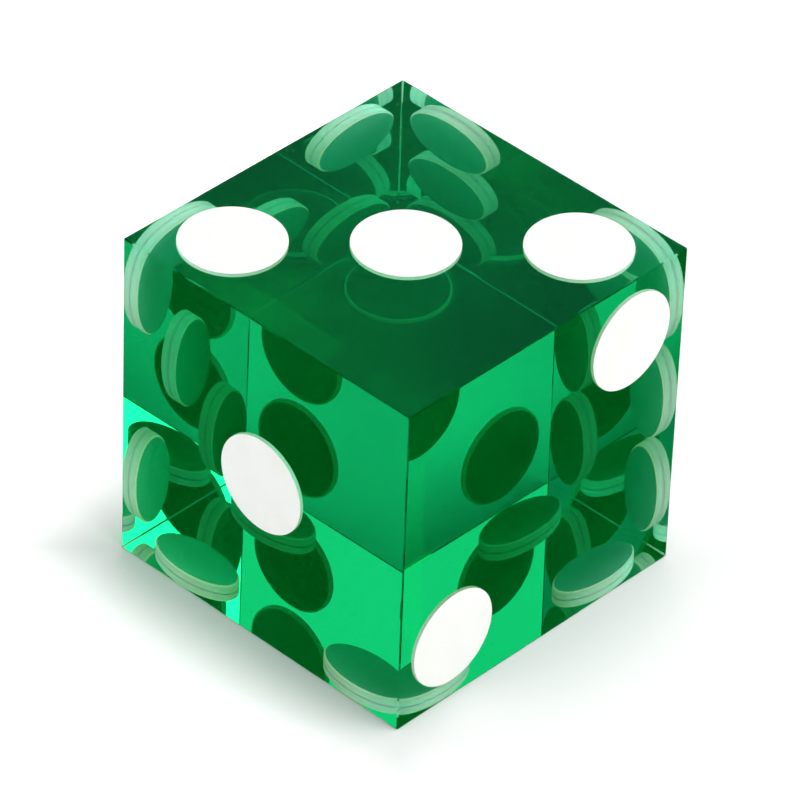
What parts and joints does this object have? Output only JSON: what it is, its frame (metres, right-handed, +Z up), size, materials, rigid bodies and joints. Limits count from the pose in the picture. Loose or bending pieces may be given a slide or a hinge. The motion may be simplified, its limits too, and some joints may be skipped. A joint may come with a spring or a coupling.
{
  "type": "casino die",
  "caption": "Clear razor-edged cube with opaque pips set flush into its six faces, rolled to give a random number on a gaming table.",
  "frame": {"origin": "middle of the face that the die rests on (the 4 face)", "axes": "+Z up out of the 3 face, +X out of the 2 face, +Y out of the 6 face; the 1 face looks along -Y"},
  "size_m": [0.019, 0.019, 0.0191],
  "materials": {
    "cube_clear_green": "polished, clear",
    "pip_white": "polished flush, opaque"
  },
  "bodies": {
    "root": {"cube": "cube_clear_green", "pip_1_1": "pip_white", "pip_2_1": "pip_white", "pip_2_2": "pip_white", "pip_3_1": "pip_white", "pip_3_2": "pip_white", "pip_3_3": "pip_white", "pip_4_1": "pip_white", "pip_4_2": "pip_white", "pip_4_3": "pip_white", "pip_4_4": "pip_white", "pip_5_1": "pip_white", "pip_5_2": "pip_white", "pip_5_3": "pip_white", "pip_5_4": "pip_white", "pip_5_5": "pip_white", "pip_6_1": "pip_white", "pip_6_2": "pip_white", "pip_6_3": "pip_white", "pip_6_4": "pip_white", "pip_6_5": "pip_white", "pip_6_6": "pip_white"}
  },
  "joints": []
}
